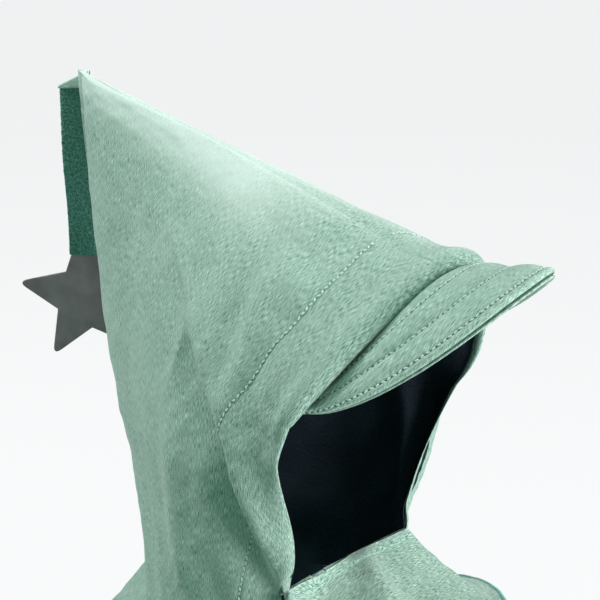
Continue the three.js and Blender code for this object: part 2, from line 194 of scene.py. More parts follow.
def ripples(u, v, layers):
    """Soft random swell over a surface, u and v in millimetres.

    A layer is height / sqrt(n) times the sum of its n waves, each of them
    sin(2 pi (u cos a + v sin a) / (length r) + p) with a, r and p drawn at random, r
    between 0.7 and 1.6.
    """
    waves = 9
    swell = np.zeros(np.broadcast(u, v).shape)
    for length, seed, height in layers:
        draw = np.random.default_rng(seed)
        for angle, stretch, phase in draw.random((waves, 3)):
            way = angle * 2 * math.pi
            reach = length * (0.7 + 0.9 * stretch)
            across = u * np.cos(way) + v * np.sin(way)
            swell += height / math.sqrt(waves) * np.sin(across * 2 * math.pi / reach + phase * 7)
    return swell


def rib_point(along, up, inset):
    """A point of the left half without folds, with its share of the rib's height.

    Above the widest place the half width is wide cos(t)^(2/round) and the height goes with
    sin(t)^(2/round). Below it the half width eases from the foot to the widest place. An
    inset moves the point inwards, further where the ridge is sharp, and forward near the
    back seam.
    """
    rib = curve_through(RIBS, along)
    tall = (1 - rib["wide_at"]) * (rib["ridge_z"] - rib["foot_z"])
    sharp = np.clip(2 - rib["round"], 0, 1)
    steep = np.minimum(INSET_STEEPEST, np.hypot(1, tall / np.maximum(rib["wide_half"], 1)))
    drop = inset * (1 + sharp * (steep - 1))
    wide = np.maximum(0, rib["wide_half"] - inset)
    foot = np.maximum(0, rib["foot_half"] - inset)
    rising = between(up, 0, rib["wide_at"]) * math.pi / 2
    turn = between(up, rib["wide_at"], 1) * math.pi / 2
    is_low = up < rib["wide_at"]
    low_half = foot + (wide - foot) * np.sin(rising) ** rib["hollow"]
    high_half = wide * np.maximum(0, np.cos(turn)) ** (2 / rib["round"])
    high_share = rib["wide_at"] + (1 - rib["wide_at"]) * np.sin(turn) ** (2 / rib["round"])
    half = np.where(is_low, low_half, high_half)
    high = np.where(is_low, up, high_share)
    y = rib["foot_y"] + (rib["ridge_y"] - rib["foot_y"]) * high
    y += rib["bow"] * np.sin(math.pi * high) - inset * (1 + 2 * high) * along**4
    z = rib["foot_z"] + (rib["ridge_z"] - drop - rib["foot_z"]) * high
    return np.stack([half, y, z], -1), high


def off_crest(along, up):
    """Distance behind the long fold's crest, and the crest's rise and depth there.

    The distance is to the nearest straight stretch of the crest, in millimetres of cloth
    and less than 0 on the face side.
    """
    nearest = np.full(np.broadcast(along, up).shape, 1e9)
    found = [np.zeros(nearest.shape) for _ in range(3)]
    rows = list(zip(*(DRAPE[name] for name in ("along", "up", "rise", "depth"))))
    for (a0, u0, rise0, depth0), (a1, u1, rise1, depth1) in zip(rows[:-1], rows[1:]):
        way = np.array([a1 - a0, u1 - u0])
        share = np.clip(((along - a0) * way[0] + (up - u0) * way[1]) / (way @ way), 0, 1)
        off_along = along - a0 - share * way[0]
        off_up = up - u0 - share * way[1]
        off = np.hypot(off_along, off_up) * PANEL_SPAN
        behind = np.where(off_up * way[0] - off_along * way[1] > 0, off, -off)
        closer = off < nearest
        nearest = np.where(closer, off, nearest)
        values = (behind, rise0 + (rise1 - rise0) * share, depth0 + (depth1 - depth0) * share)
        found = [np.where(closer, new, old) for new, old in zip(values, found)]
    return found


def fold_height(along, up, inset):
    """How far the folds push the cloth out.

    Across the long fold, at a distance d behind its crest, the cloth rises by
    rise exp(-(d / reach)^2) and sinks by depth exp(-((d - off) / width)^2). The soft folds
    are height exp(-(d / width)^2) at a distance d from short lines. An inset surface has
    its crest further forward, which keeps it under the steep flank.
    """
    behind, rise, depth = off_crest(along, up)
    behind = behind + FLANK_SHIFT * np.maximum(inset, 0)
    reach = np.where(behind < 0, CREST_FRONT, CREST_BACK)
    height = rise * bump(behind / reach)
    width = np.where(behind > HOLLOW_OFF, HOLLOW_BACK, HOLLOW_FRONT)
    height = height - depth * bump((behind - HOLLOW_OFF) / width)
    for x0, y0, x1, y1, rise, width in zip(*SOFT_FOLDS.values()):
        line = (x1 - x0, y1 - y0)
        share = ((along - x0) * line[0] + (up - y0) * line[1]) / (line[0]**2 + line[1]**2)
        held = np.clip(share, 0, 1)
        off = np.hypot(along - x0 - held * line[0], up - y0 - held * line[1])
        height = height + rise * bump(off / width)
    return height * between(along, 1, 1 - FOLD_FADE) * between(up, 1, 1 - FOLD_FADE)


def roll_share(up):
    """How much of the face edge's roll there is: none by the throat, all over the brow.

    It eases in by s^2 (3 - 2 s) over its share s of the way between the two.
    """
    share = between(up, ROLL_FROM, ROLL_FULL)
    return share * share * (3 - 2 * share)


def hood_point(side, along, up, inset, detail=False):
    """A point of the hood on a side, 1 for the left and -1 for the right.

    The rib's point is moved along the surface's normal by the folds, by the push at the
    cheek and the roll of the face edge, each height exp(-(d / reach)^2) at a distance d,
    and by the cloth's swelling beside its seams, height t exp(1 - t) with t the distance.
    With detail there are also the seam grooves, the facing's stitched groove and ripples.
    """
    along, up, side = np.broadcast_arrays(along, up, side)
    point, high = rib_point(along, up, inset)
    step = 0.01
    ahead = rib_point(np.minimum(1, along + step), up, 0)[0]
    behind = rib_point(np.maximum(0, along - step), up, 0)[0]
    above = rib_point(along, np.minimum(1, up + step), 0)[0]
    below = rib_point(along, np.maximum(0, up - step), 0)[0]
    outward = unit(np.cross(ahead - behind, above - below))
    height = fold_height(along, up, inset) * np.where(side > 0, LEFT_FOLD_SHARE, 1.0)
    off_cheek = np.hypot(along, up - np.clip(up, CHEEK_FROM, CHEEK_TO)) / CHEEK_REACH
    height = height + np.where(side > 0, CHEEK_LEFT, CHEEK_RIGHT) * bump(off_cheek)
    height = height + ROLL_RISE * roll_share(up) * bump((along - ROLL_AT) / ROLL_WIDTH)
    to_ridge = 1 - up
    to_back = BACK_SEAM - along
    at_ridge = swelling(to_ridge / PUFF_REACH) * between(along, *RIDGE_PUFF_ALONG)
    at_back = swelling(np.maximum(to_back, 0) / PUFF_REACH) * between(up, *BACK_PUFF_UP)
    height = height + RIDGE_PUFF * at_ridge + BACK_PUFF * at_back
    if detail:
        groove = np.maximum(bump(to_ridge * RIDGE_SPAN / SEAM_REACH),
                            bump(to_back * BACK_SPAN / SEAM_REACH))
        half_width = curve_through(RIBS, along)["wide_half"]
        height = height - SEAM_SINK * groove * between(half_width, *SEAM_HALF_WIDTH)
        facing = curve_through(FACING_LINE, up)["along"]
        height = height - FACING_SINK * bump((along - facing) / FACING_GROOVE)
        rippled = ripples(along * PANEL_SPAN, up * PANEL_SPAN, PANEL_RIPPLES)
        height = height + rippled * between(along, 0, CALM_EDGE) * between(up, 1, 1 - CALM_RIDGE)
    point = point + outward * height[..., None]
    closing = np.sqrt(between(along, BACK_SEAM, BACK_SEAM - BACK_CLOSING))
    x = np.maximum(point[..., 0], 0) * side * closing
    lean = between(along, ASKEW_REACH, 0) ** 2 * between(high, ASKEW_FROM, 1) ** ASKEW_EASE
    askew = ASKEW_RISE * (x / ASKEW_AT) * lean
    return np.stack([x, point[..., 1], point[..., 2] + askew], -1)


def lengths(grid):
    """UV in metres: the length walked along each of a grid's two directions."""
    u = np.cumsum(np.linalg.norm(np.diff(grid, axis=0, prepend=grid[:1]), axis=-1), axis=0)
    v = np.cumsum(np.linalg.norm(np.diff(grid, axis=1, prepend=grid[:, :1]), axis=-1), axis=1)
    return np.stack([u, v], -1) * MM


def grid_faces(rows, columns, first=0, wrapped=False):
    """Four-sided faces of a grid of points, closed on itself in rows when wrapped."""
    index = np.arange(rows * columns).reshape(rows, columns) + first
    if wrapped:
        index = np.vstack([index, index[:1]])
    corners = [index[:-1, :-1], index[1:, :-1], index[1:, 1:], index[:-1, 1:]]
    return np.stack(corners, -1).reshape(-1, 4)


RIM_TURNS = (0.25, 0.5, 0.75)


def wall(outer, inner, wrapped=False, flat_uv=None):
    """Points, faces, UV and face layer of a closed wall between two like grids.

    Open edges get a round rim: centre + cos(t) half + sin(t) |half| outward, where half
    is half the wall's thickness and outward points away from the cloth. The UV is the
    length walked along the grid, or flat_uv where that is given.
    """
    rows, columns = outer.shape[:2]
    count = rows * columns
    points = [outer.reshape(-1, 3), inner.reshape(-1, 3)]
    faces = [grid_faces(rows, columns, 0, wrapped),
             grid_faces(rows, columns, count, wrapped)[:, ::-1]]
    layers = [np.zeros(len(faces[0]), int), np.ones(len(faces[1]), int)]
    walked = (lengths(outer) if flat_uv is None else flat_uv).reshape(-1, 2)
    uvs = [walked, walked]
    i, j = np.meshgrid(np.arange(rows), np.arange(columns), indexing="ij")
    if wrapped:
        loops = [(i[:, 0], j[:, 0]), (i[::-1, -1], j[::-1, -1])]
    else:
        loops = [(np.concatenate([i[0, :-1], i[:-1, -1], i[-1, :0:-1], i[:0:-1, 0]]),
                  np.concatenate([j[0, :-1], j[:-1, -1], j[-1, :0:-1], j[:0:-1, 0]]))]
    first = 2 * count
    for at_i, at_j in loops:
        near_i = at_i if wrapped else np.clip(at_i, 1, rows - 2)
        near_j = np.clip(at_j, 1, columns - 2)
        middle = (outer[at_i, at_j] + inner[at_i, at_j]) / 2
        half = (outer[at_i, at_j] - inner[at_i, at_j]) / 2
        outward = unit(outer[at_i, at_j] - outer[near_i, near_j])
        thick = np.linalg.norm(half, axis=-1, keepdims=True)
        flat = at_i * columns + at_j
        onward = unit(walked[flat] - walked[near_i * columns + near_j])
        ring = [flat]
        for turn in RIM_TURNS:
            swing = turn * math.pi
            points.append(middle + math.cos(swing) * half + math.sin(swing) * thick * outward)
            ring.append(first + np.arange(len(flat)))
            uvs.append(walked[flat] + onward * thick * MM * swing)
            first += len(flat)
        ring.append(flat + count)
        for near, far in zip(ring[:-1], ring[1:]):
            strip = np.stack([near, np.roll(near, -1), np.roll(far, -1), far], -1)
            faces.append(strip)
            layers.append(np.zeros(len(strip), int))
    return tuple(np.concatenate(made) for made in (points, faces, uvs, layers))


def sewn_piece(name, shells, materials, node):
    """One object from closed shells of (points, faces, UV, layer), faces turned outwards."""
    points, faces, uvs, layers = [], [], [], []
    first = 0
    for shell_points, shell_faces, shell_uv, shell_layer in shells:
        a, b, c, d = (shell_points[shell_faces[:, k]] for k in range(4))
        volume = np.sum(a * np.cross(b, c)) + np.sum(a * np.cross(c, d))
        points.append(shell_points)
        faces.append((shell_faces if volume > 0 else shell_faces[:, ::-1]) + first)
        uvs.append(shell_uv)
        layers.append(shell_layer)
        first += len(shell_points)
    points, faces, uvs, layers = (np.concatenate(made) for made in (points, faces, uvs, layers))
    mesh = bpy.data.meshes.new(name)
    mesh.from_pydata((points * MM).tolist(), [], faces.tolist())
    mesh.uv_layers.new(name="cloth").data.foreach_set("uv", uvs[faces.ravel()].ravel())
    mesh.polygons.foreach_set("use_smooth", np.ones(len(faces), bool))
    mesh.polygons.foreach_set("material_index", np.minimum(layers, len(materials) - 1))
    for material in materials:
        mesh.materials.append(material)
    mesh.update()
    piece = bpy.data.objects.new(name, mesh)
    bpy.context.scene.collection.objects.link(piece)
    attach(piece, "root")
    if node:
        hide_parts(node)
    return piece


class Dye:
    """An output of a material's node, on which arithmetic makes Math nodes."""

    def __init__(self, tree, socket=None):
        self.tree = tree
        self.socket = socket

    def node(self, kind, settings, inputs, output=0):
        """A node of a kind: its settings first, then its sockets' values or links."""
        made = self.tree.nodes.new(kind)
        for name, value in settings.items():
            if name == "stops":
                for stop, (place, colour) in zip(made.color_ramp.elements, value):
                    stop.position = place
                    stop.color = colour
            else:
                setattr(made, name, value)
        for name, value in inputs.items():
            if isinstance(value, Dye):
                self.tree.links.new(value.socket, made.inputs[name])
            else:
                made.inputs[name].default_value = value
        return Dye(self.tree, made.outputs[output] if made.outputs else None)

    def math(self, operation, first, second):
        return self.node("ShaderNodeMath", {"operation": operation}, {0: first, 1: second})

    def __add__(self, other):
        return self.math("ADD", self, other)

    __radd__ = __add__

    def __mul__(self, other):
        return self.math("MULTIPLY", self, other)

    __rmul__ = __mul__

    def __sub__(self, other):
        return self.math("SUBTRACT", self, other)

    def __rsub__(self, other):
        return self.math("SUBTRACT", other, self)

    def noise(self, cells, detail=2.0, rough=0.5):
        """Noise on the cloth's own UV, with so many cells to the metre each way."""
        where = self.node("ShaderNodeUVMap", {"uv_map": "cloth"}, {})
        scaled = self.node("ShaderNodeVectorMath", {"operation": "MULTIPLY"},
                           {0: where, 1: (*cells, 1)})
        return self.node("ShaderNodeTexNoise", {"noise_dimensions": "2D"},
                         {"Vector": scaled, "Scale": 1.0, "Detail": detail, "Roughness": rough})

    def ramp(self, low, dark, high, light):
        """Colour that goes straight from dark at low to light at high."""
        stops = [(low, (*dark, 1)), (high, (*light, 1))]
        return self.node("ShaderNodeValToRGB", {"stops": stops}, {"Fac": self})

    def mixed(self, blend, factor, first, second):
        return self.node("ShaderNodeMix", {"data_type": "RGBA", "blend_type": blend},
                         {0: factor, 6: first, 7: second}, 2)


def new_dye(name):
    """An empty material and the Dye that builds it."""
    material = bpy.data.materials.new(name)
    material.use_nodes = True
    material.node_tree.nodes.clear()
    return material, Dye(material.node_tree)


def finish_dye(material, dye, colour, roughness, height, depth, **surface):
    """The cloth's shader: varying colour, roughness and bump, with plain other sockets.

    The bump is a height between 0 and 1, times a depth in metres.
    """
    lifted = dye.node("ShaderNodeBump", {},
                      {"Height": height, "Distance": depth, "Strength": 1.0})
    inputs = {"Base Color": colour, "Roughness": roughness, "Normal": lifted}
    inputs.update({name.replace("_", " "): value for name, value in surface.items()})
    shader = dye.node("ShaderNodeBsdfPrincipled", {}, inputs)
    dye.node("ShaderNodeOutputMaterial", {}, {"Surface": shader})
    return material


DARK_MINT = (0.085, 0.225, 0.165)
PALE_MINT = (0.620, 0.775, 0.685)
# Streaks to the metre each way: the yarn runs up the panels, round the peak and across the
# yoke
YARN_UP = (3400.0, 260.0)
YARN_ROUND = (260.0, 3400.0)
SLUB_SHARE = 0.45
NAP_CLOUDS = (40.0, 26.0)
NAP_GRAIN = (3200.0, 2800.0)
# A whitish highlight painted along the ridge, where the light catches the cloth's top: its places
# and reach in metres
RIDGE_PAINTED_HIGHLIGHT = (0.82, 0.90, 0.86, 1)
HIGHLIGHT_SHARE = 0.68
HIGHLIGHT_REACH = 0.017
HIGHLIGHT_FRONT = 0.045
HIGHLIGHT_FADE = 14.0
RIDGE_SLOPE = 0.3155
RIDGE_LEVEL = -0.0046


def softshell(name, yarn, tone=1.0, painted_highlight=False):
    """Melange softshell: streaks of paler and darker yarn along the cloth, and fine nap.

    Near the ridge the cloth can be given a painted highlight: it is whiter by share
    exp(-(d / reach)^2), d the height below the ridge's line z = slope y + level; it fades out
    before the brow.
    """
    material, dye = new_dye(name)
    streak = dye.noise(yarn, 0.0)
    slub = dye.noise((yarn[0] * SLUB_SHARE, yarn[1] * SLUB_SHARE), 0.0)
    cloud = dye.noise(NAP_CLOUDS)
    grain = dye.noise(NAP_GRAIN, 0.0)
    tint = streak * 0.46 + slub * 0.09 + cloud * 0.07 + grain * 0.38
    dark = tuple(channel * tone for channel in DARK_MINT)
    pale = tuple(channel * tone for channel in PALE_MINT)
    colour = tint.ramp(0.36, dark, 0.64, pale)
    # Painted highlight: the colour is mixed towards whitish near the ridge
    if painted_highlight:
        place = dye.node("ShaderNodeTexCoord", {}, {}, "Object")
        y, z = (dye.node("ShaderNodeSeparateXYZ", {}, {0: place}, axis) for axis in "YZ")
        below = (y * RIDGE_SLOPE + RIDGE_LEVEL - z) * (1 / HIGHLIGHT_REACH)
        fade = dye.math("MAXIMUM", (y + HIGHLIGHT_FRONT) * HIGHLIGHT_FADE, 0.0)
        fade = dye.math("MINIMUM", fade, 1.0)
        highlight = dye.math("POWER", math.e, below * below * -1.0) * fade * HIGHLIGHT_SHARE
        colour = dye.mixed("MIX", highlight, colour, RIDGE_PAINTED_HIGHLIGHT)
    return finish_dye(material, dye, colour, roughness=0.78 + streak * 0.2,
                      height=streak * 0.6 + grain * 0.5, depth=0.00022,
                      Sheen_Weight=0.50, Sheen_Roughness=0.35, Sheen_Tint=(0.95, 1, 0.97, 1))


STITCH_RINGS = 5
STITCH_SIDES = 6
STITCH_TAPER = 0.6
STITCH_DIP = 0.2
STITCH_AIM = 0.2
THREAD_SHADE = 0.75


def stitches(name, paths, material, pitch, length, radius, zigzag=0.0, start=1.0):
    """One object of short round stitches along paths of (points, normals).

    Each stitch is a spindle: its radius goes with sin(t)^taper from end to end, and it
    dips into the cloth by dip s^2 towards its ends. A zigzag slants them to either side
    in turn, and start is the first one's place in pitches.
    """
    along = np.linspace(0, 1, STITCH_RINGS)
    from_middle = 2 * along - 1
    girth = np.maximum(np.sin(along * math.pi), 0) ** STITCH_TAPER * radius
    lift = radius / 2 - STITCH_DIP * from_middle**2
    turn = np.linspace(0, 2 * math.pi, STITCH_SIDES, endpoint=False)
    index = np.arange(STITCH_RINGS * STITCH_SIDES).reshape(STITCH_RINGS, STITCH_SIDES)
    beside = np.roll(index, -1, axis=1)
    one = np.stack([index[:-1], index[1:], beside[1:], beside[:-1]], -1).reshape(-1, 4)
    one_uv = np.stack([np.repeat(along, STITCH_SIDES), np.tile(turn, STITCH_RINGS)], -1) * MM
    shells = []
    for points, normals in paths:
        steps = np.linalg.norm(np.diff(points, axis=0), axis=1)
        walked = np.concatenate([[0], np.cumsum(steps)])
        stops = np.arange(pitch * start, walked[-1] - pitch / 2, pitch)
        centre, ahead, upward = (
            np.stack([np.interp(places, walked, values[:, k]) for k in range(3)], -1)
            for places, values in ((stops, points), (stops + STITCH_AIM, points), (stops, normals)))
        upward = unit(upward)
        forward = unit(ahead - centre)
        sideways = unit(np.cross(upward, forward))
        spine = centre[:, None, :] + forward[:, None, :] * (from_middle * length / 2)[:, None]
        spine = spine + upward[:, None, :] * lift[:, None]
        slant = np.where(np.arange(len(stops)) % 2, -1, 1)[:, None, None] * from_middle[:, None]
        spine = spine + sideways[:, None, :] * slant * zigzag
        ring = (sideways[:, None, None, :] * np.cos(turn)[:, None]
                + upward[:, None, None, :] * np.sin(turn)[:, None]) * girth[:, None, None]
        rounds = (spine[:, :, None, :] + ring).reshape(-1, 3)
        firsts = np.arange(len(stops)) * index.size
        faces = (one[None] + firsts[:, None, None]).reshape(-1, 4)
        uv = np.tile(one_uv, (len(stops), 1))
        shells.append((rounds, faces, uv, np.zeros(len(faces), int)))
    return sewn_piece(name, shells, [material], None)


def thread(name, colour):
    """Twisted sewing thread, a shade lighter on each turn of its twist."""
    material, dye = new_dye(name)
    twist = dye.noise((9000.0, 700.0), 1.0)
    shade = twist.ramp(0.35, tuple(channel * THREAD_SHADE for channel in colour), 0.65, colour)
    return finish_dye(material, dye, shade, roughness=0.5 + twist * 0.2,
                      height=twist, depth=0.0001, Sheen_Weight=0.2)


PANEL_ROWS = 200
PANEL_COLUMNS = 160
SHELL_WALL = 2.0
ROLL_WADDING = 5.6
ROLL_WADDING_WIDTH = 0.022
PANEL_GAP = 0.05
FACING_STITCHED = (0.02, 0.985)
FACING_PATH_POINTS = 500
THREAD_LIFT = 0.25


def wadding(along, up):
    """Thickness of the wadding in the roll: depth exp(-(along / width)^2), the roll's share."""
    return ROLL_WADDING * roll_share(up) * bump(along / ROLL_WADDING_WIDTH)


def keep_to_side(grids, side, gap):
    """Hold grids on their own side of the middle, no nearer to it than a gap."""
    for grid in grids:
        grid[..., 0] = side * np.maximum(np.abs(grid[..., 0]), gap)


def panel_grids(side):
    """Outer and inner grid of one panel, with one of its rows along the facing's stitching."""
    share = np.linspace(0, 1, PANEL_ROWS)[:, None]
    up = np.linspace(0, 1, PANEL_COLUMNS)[None, :]
    sewn_row = round(FACING_ROWS * (PANEL_ROWS - 1)) / (PANEL_ROWS - 1)
    facing = curve_through(FACING_LINE, up)["along"]
    beyond = between(share, sewn_row, 1)
    along = facing * np.minimum(share / sewn_row, 1) + (BACK_SEAM - facing) * beyond
    outer = hood_point(side, along, up, 0, detail=True)
    inner = hood_point(side, along, up, SHELL_WALL + wadding(along, up))
    keep_to_side((outer, inner), side, PANEL_GAP)
    return outer, inner


# The panels' cloth carries the painted highlight along the ridge
panel_cloth = softshell("melange_softshell", YARN_UP, painted_highlight=True)
facing_thread = thread("pale_thread", (0.80, 0.93, 0.89))
# Dark spindles between the facing's stitches are painted shade in the dips between them
facing_gap_shade = thread("facing_stitch_gap_shade", (0.040, 0.140, 0.110))
facing_paths = []
for side_name, side in (("right", -1), ("left", 1)):
    outer, inner = panel_grids(side)
    panel = sewn_piece(f"side_panel_{side_name}", [wall(outer, inner)], [panel_cloth],
                       f"hood_panel_{side_name}")
    level = np.linspace(*FACING_STITCHED, FACING_PATH_POINTS)
    line = curve_through(FACING_LINE, level)["along"]
    sewn = hood_point(side, line, level, 0, detail=True)
    lifted = hood_point(side, line, level, -1.0)
    outward = unit(lifted - hood_point(side, line, level, 0))
    facing_paths.append((sewn + outward * THREAD_LIFT, outward))
stitches("facing_topstitch", facing_paths, facing_thread,
         pitch=3.6, length=3.0, radius=0.60, zigzag=0.5)
# Painted shade: short dark spindles halfway between the stitches
stitches("facing_stitch_gap_shadows", facing_paths, facing_gap_shade,
         pitch=3.6, length=1.1, radius=0.34, start=1.5)


# Lining
# A plain dark jersey bag of the hood's own shape, sewn in just behind the roll of the face
# edge and caught in the neck seam.
LINING_ROWS = 110
LINING_COLUMNS = 100
LINING_DEPTH = 4.2
LINING_WALL = 0.8
LINING_FROM = 0.012
LINING_TO = 0.94
LINING_CROWDING = 0.25
LINING_WADDING = 0.8
LINING_GAP = 0.01


def jersey():
    """Dark jersey with faint ribs of its knit."""
    material, dye = new_dye("dark_jersey")
    knit = dye.noise((1400.0, 500.0))
    cloud = dye.noise((30.0, 30.0))
    tint = knit * 0.6 + cloud * 0.4
    colour = tint.ramp(0.3, (0.012, 0.016, 0.023), 0.7, (0.034, 0.045, 0.062))
    return finish_dye(material, dye, colour, roughness=0.85 + knit * 0.1,
                      height=knit, depth=0.0003, Specular_IOR_Level=0.0)


lining_shells = []
share = np.linspace(0, 1, LINING_ROWS)[:, None]
crowded = share - LINING_CROWDING * share * (1 - share)
along = LINING_FROM + (LINING_TO - LINING_FROM) * crowded
up = np.linspace(0, 1, LINING_COLUMNS)[None, :]
seated = LINING_DEPTH + LINING_WADDING * wadding(along, up)
for side in (-1, 1):
    outer = hood_point(side, along, up, seated)
    inner = hood_point(side, along, up, seated + LINING_WALL)
    keep_to_side((outer, inner), side, LINING_GAP)
    lining_shells.append(wall(outer, inner))
jersey_cloth = jersey()
lining = sewn_piece("jersey_lining", lining_shells, [jersey_cloth], "hood_lining")


# Peak
# A crescent of two softshell covers over a thin wadding, sewn in under the roll of the face
# edge. Three rows of topstitching follow its rim and quilt it into channels, and the covers
# meet at the rim in two lips with a groove between them.
PEAK_HALF = 86
PEAK_REAR = {"y": -73, "z": -102.3}
PEAK_FRONT = {"y": -174, "z": -37.0}
PEAK_BLUNT = 0.75
PEAK_SWEEP = 1.8
PEAK_LIFT = 2.7
PEAK_ASKEW = 0.35
PEAK_FIRST = 0.66
PEAK_TUCK = 0.028
PEAK_INSET = 7.4
PEAK_COVER = 3.0
PEAK_UNDER = 2.4
PEAK_SPLIT = 0.8
PEAK_LIP = 1.014
PEAK_DIP = 3.0
PEAK_DUCK = 12.5
PEAK_DUCK_REACH = 13.0
PEAK_DUCK_DEPTH = 30.0
PEAK_RIPPLES = ((14, 9, 0.12),)
COVER_ROWS = 560
COVER_COLUMNS = 84
UNDER_ROWS = 300
UNDER_COLUMNS = 50
UNDER_PUFF = -0.7
CHANNELS = table("start end puff", [
    [0.00, 0.33, 1.4],
    [0.33, 0.62, 2.2],
    [0.62, 0.93, 2.8],
    [0.93, 1.00, 0.8],
])
STITCH_PITCH = 3.75
PUCKER = 0.10
PUCKER_OFF = 1.2
PUCKER_REACH = 1.2
PUCKER_SLANT = 0.5
SEAM_EDGE = 0.007
PEAK_STITCHED = (0.015, 0.985)
PEAK_PATH_POINTS = 900
PEAK_THREAD_LIFT = 0.35


def peak_point(around, out):
    """A point of the peak's middle surface, from the face edge at 0 out to the rim at 1.

    The rim is x = half |cos a|^blunt, with y and z going from rear to front by powers of
    sin a; straight lines join it to the place under the face edge at the same share. It
    is tipped to the wearer's right as the brow is.
    """
    around, out = np.broadcast_arrays(around, out)
    angle = math.pi * around
    side = np.where(around < 0.5, -1, 1)
    up = PEAK_FIRST + (1 - PEAK_FIRST) * (1 - np.abs(1 - 2 * around))
    root = hood_point(side, PEAK_TUCK, up, PEAK_INSET)
    sweep = np.clip(np.sin(angle), 0, 1)
    x = side * PEAK_HALF * np.abs(np.cos(angle)) ** PEAK_BLUNT
    y = PEAK_REAR["y"] + (PEAK_FRONT["y"] - PEAK_REAR["y"]) * sweep**PEAK_SWEEP
    z = PEAK_REAR["z"] + (PEAK_FRONT["z"] - PEAK_REAR["z"]) * sweep**PEAK_LIFT
    askew = ASKEW_RISE * (x / ASKEW_AT) * (PEAK_ASKEW + (1 - PEAK_ASKEW) * sweep)
    rim = np.stack([x, y, z + askew], -1)
    return root + (rim - root) * out[..., None]


def peak_surface(around, out, height, puffed):
    """The peak's cover at a height over its middle surface, with its outward normals.

    The middle hangs by dip sin(pi a) sin(pi o) and ducks under the face edge by
    duck exp(-(d / reach)^2). A channel rises by puff sqrt(sin(pi s)) over its share s, and
    the cloth puckers beside each seam by cos(2 pi l / pitch) exp(-((d - off) / reach)^2),
    l along the seam and d away from it.
    """
    step = 0.01
    right = peak_point(np.maximum(0, around - step), out)
    left = peak_point(np.minimum(1, around + step), out)
    near = peak_point(around, np.clip(out, step, 1 - step) - step)
    far = peak_point(around, np.clip(out, step, 1 - step) + step)
    outward = unit(np.cross(far - near, left - right))
    middle = peak_point(around, out)
    rise = height - PEAK_DIP * np.sin(math.pi * around) * np.sin(math.pi * out)
    across = peak_point(around, 1.0 + 0 * out) - peak_point(around, 0 * out)
    depth = np.linalg.norm(across, axis=-1)
    duck = PEAK_DUCK * np.minimum(1, depth / PEAK_DUCK_DEPTH)
    rise = rise - duck * bump(out * depth / PEAK_DUCK_REACH)
    if puffed:
        walked = np.linalg.norm(np.diff(middle, axis=0, prepend=middle[:1]), axis=-1)
        walked = np.cumsum(walked, axis=0)
        for start, end, puff in zip(*CHANNELS.values()):
            arch = np.sin(math.pi * between(out, start, end))
            rise = rise + puffed * puff * np.sqrt(np.maximum(arch, 0))
            if end < 1:
                off = (out - end) * depth
                wave = np.cos(walked * 2 * math.pi / STITCH_PITCH + off * PUCKER_SLANT)
                near_seam = bump((np.abs(off) - PUCKER_OFF) / PUCKER_REACH)
                rise = rise + puffed * PUCKER * wave * near_seam
        rise = rise + puffed * ripples(walked, out * depth, PEAK_RIPPLES)
    return middle + outward * rise[..., None], outward


peak_cloth = softshell("peak_softshell", YARN_ROUND, tone=1.05)
around = np.linspace(0, 1, COVER_ROWS)[:, None]
seam_rows = CHANNELS["end"][:-1, None] + np.array([-SEAM_EDGE, 0.0, SEAM_EDGE])
out = np.unique(np.append(np.linspace(0, 1, COVER_COLUMNS), seam_rows))[None, :]
top, _ = peak_surface(around, out, PEAK_COVER, 1.0)
inside, _ = peak_surface(around, out, PEAK_SPLIT, 0.0)
cover = sewn_piece("quilted_peak", [wall(top, inside)], [peak_cloth], "peak_cover")
around = np.linspace(0, 1, UNDER_ROWS)[:, None]
out = np.linspace(0, PEAK_LIP, UNDER_COLUMNS)[None, :]
inside, _ = peak_surface(around, out, -PEAK_SPLIT, 0.0)
below, _ = peak_surface(around, out, -PEAK_UNDER, UNDER_PUFF)
under = sewn_piece("peak_lower_cover", [wall(inside, below)], [peak_cloth],
                   "peak_underside")
peak_thread = thread("pale_mint_thread", (0.84, 0.95, 0.91))
# Dark spindles between the peak's stitches are painted shade in the dips between them
peak_gap_shade = thread("peak_stitch_gap_shade", (0.030, 0.100, 0.078))
around = np.linspace(*PEAK_STITCHED, PEAK_PATH_POINTS)[:, None]
peak_paths = []
for seam_at in CHANNELS["end"][:-1]:
    line, outward = peak_surface(around, np.array([[seam_at]]), PEAK_COVER, 1.0)
    peak_paths.append((line[:, 0] + outward[:, 0] * PEAK_THREAD_LIFT, outward[:, 0]))
stitches("peak_topstitch", peak_paths, peak_thread,
         pitch=STITCH_PITCH, length=3.2, radius=0.74, zigzag=0.55)
# Painted shade: short dark spindles halfway between the stitches
stitches("peak_stitch_gap_shadows", peak_paths, peak_gap_shade,
         pitch=STITCH_PITCH, length=1.4, radius=0.38, start=1.5)


# Shoulder yoke
# One ring of the same softshell, unlined, so that its inner side is the cloth's fleece back.
# That side is given the lining's dark jersey: partly the back's own dark colour and partly
# painted shade, as the inside of the throat lies in shadow. Its upper edge is sewn to the
# hood, and at the throat it is turned in and topstitched. The outer edge is overlocked in
# turquoise thread.
NECKLINE_SHARE = 0.2
NECKLINE_BOW = -2
NECK_ROOM = 0.8
HEM_HALF = 158
HEM_MIDDLE_Y = 30
HEM_DEEP = 170
HEM_LINE = table("at angle hem_z fall", [
    [0.00, 0, -277, 2.2],
    [0.20, 36, -286, 1.5],
    [0.36, 64, -301, 1.6],
    [0.52, 92, -328, 1.7],
    [0.68, 118, -347, 1.6],
    [0.84, 148, -354, 1.5],
    [1.00, 180, -352, 1.4],
])
YOKE_FOLDS = table("at height width", [
    [-0.86, 5, 0.07],
    [-0.62, -4, 0.08],
    [-0.40, 5, 0.07],
    [-0.09, -6, 0.05],
    [0.01, 6, 0.035],
    [0.28, 3, 0.10],
    [0.66, -4, 0.08],
    [0.86, 4, 0.07],
])
